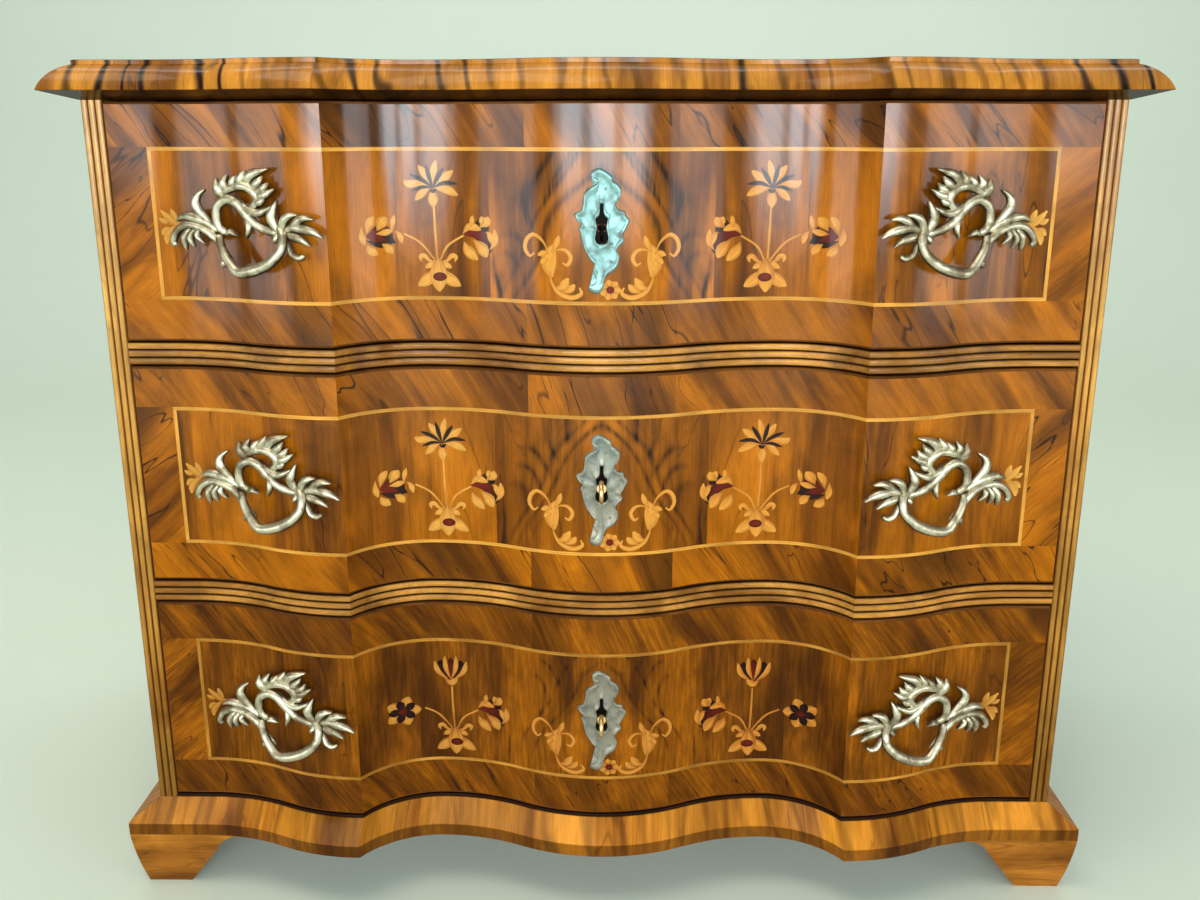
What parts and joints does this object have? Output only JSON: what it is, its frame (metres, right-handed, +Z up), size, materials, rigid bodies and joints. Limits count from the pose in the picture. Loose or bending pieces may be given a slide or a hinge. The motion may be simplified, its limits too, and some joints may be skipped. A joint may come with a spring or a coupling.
{
  "type": "serpentine chest of drawers",
  "caption": "Low Baroque chest of drawers with a serpentine front, moulded top and plinth, bracket feet, brass pulls, and locks with keys.",
  "frame": {"origin": "on the floor under the middle of the top", "axes": "+X to the viewer's right, +Y to the back, +Z up; the drawers open to -Y"},
  "size_m": [1.078, 0.615, 0.906],
  "materials": {
    "walnut": "gloss",
    "maple": "gloss",
    "dark_wood": "gloss",
    "softwood": "matte",
    "brass": "polished",
    "iron": "satin"
  },
  "bodies": {
    "carcass": {"top": "walnut", "left_side_panel": "walnut", "right_side_panel": "walnut", "back_boards": "softwood", "bottom_board": "softwood", "left_corner_post": "maple", "right_corner_post": "maple", "lower_rail": "maple", "upper_rail": "maple", "base_bead": "dark_wood", "left_lower_runner": "softwood", "right_lower_runner": "softwood", "left_upper_runner": "softwood", "right_upper_runner": "softwood", "left_kicker": "softwood", "right_kicker": "softwood", "drawer_stops": "softwood", "plinth_front": "walnut", "plinth_left": "walnut", "plinth_right": "walnut", "front_left_foot": "walnut", "rear_left_foot": "walnut", "front_right_foot": "walnut", "rear_right_foot": "walnut", "foot_blocks": "softwood"},
    "lower_drawer": {"lower_drawer_front": "walnut", "lower_drawer_left_side": "softwood", "lower_drawer_right_side": "softwood", "lower_drawer_back": "softwood", "lower_drawer_bottom": "softwood", "lower_lock_case": "iron", "lower_escutcheon": "brass", "lower_left_handle": "brass", "lower_right_handle": "brass", "lower_handle_bolts": "iron"},
    "lower_bolt": {"lower_lock_bolt": "iron"},
    "lower_key": {"lower_key": "iron"},
    "middle_drawer": {"middle_drawer_front": "walnut", "middle_drawer_left_side": "softwood", "middle_drawer_right_side": "softwood", "middle_drawer_back": "softwood", "middle_drawer_bottom": "softwood", "middle_lock_case": "iron", "middle_escutcheon": "brass", "middle_left_handle": "brass", "middle_right_handle": "brass", "middle_handle_bolts": "iron"},
    "middle_bolt": {"middle_lock_bolt": "iron"},
    "middle_key": {"middle_key": "iron"},
    "upper_drawer": {"upper_drawer_front": "walnut", "upper_drawer_left_side": "softwood", "upper_drawer_right_side": "softwood", "upper_drawer_back": "softwood", "upper_drawer_bottom": "softwood", "upper_lock_case": "iron", "upper_escutcheon": "brass", "upper_left_handle": "brass", "upper_right_handle": "brass", "upper_handle_bolts": "iron"},
    "upper_bolt": {"upper_lock_bolt": "iron"}
  },
  "joints": [
    {"name": "lower_drawer_slide", "type": "slide", "parent": "carcass", "child": "lower_drawer", "axis": [0, -1, 0], "range_m": [0, 0.4]},
    {"name": "lower_bolt_slide", "type": "slide", "parent": "lower_drawer", "child": "lower_bolt", "axis": [0, 0, 1], "range_m": [0, 0.01]},
    {"name": "lower_key_turn", "type": "hinge", "parent": "lower_drawer", "child": "lower_key", "pos_m": [0, -0.2375, 0.2235], "axis": [0, 1, 0], "range_deg": [0, 180]},
    {"name": "middle_drawer_slide", "type": "slide", "parent": "carcass", "child": "middle_drawer", "axis": [0, -1, 0], "range_m": [0, 0.4]},
    {"name": "middle_bolt_slide", "type": "slide", "parent": "middle_drawer", "child": "middle_bolt", "axis": [0, 0, 1], "range_m": [0, 0.01]},
    {"name": "middle_key_turn", "type": "hinge", "parent": "middle_drawer", "child": "middle_key", "pos_m": [0, -0.2375, 0.4865], "axis": [0, 1, 0], "range_deg": [0, 180]},
    {"name": "upper_drawer_slide", "type": "slide", "parent": "carcass", "child": "upper_drawer", "axis": [0, -1, 0], "range_m": [0, 0.4]},
    {"name": "upper_bolt_slide", "type": "slide", "parent": "upper_drawer", "child": "upper_bolt", "axis": [0, 0, 1], "range_m": [0, 0.01]}
  ],
  "couplings": [
    {"joint": "lower_key_turn", "follows": "lower_bolt_slide", "rad_per_m": 314.15},
    {"joint": "middle_key_turn", "follows": "middle_bolt_slide", "rad_per_m": 314.15}
  ]
}
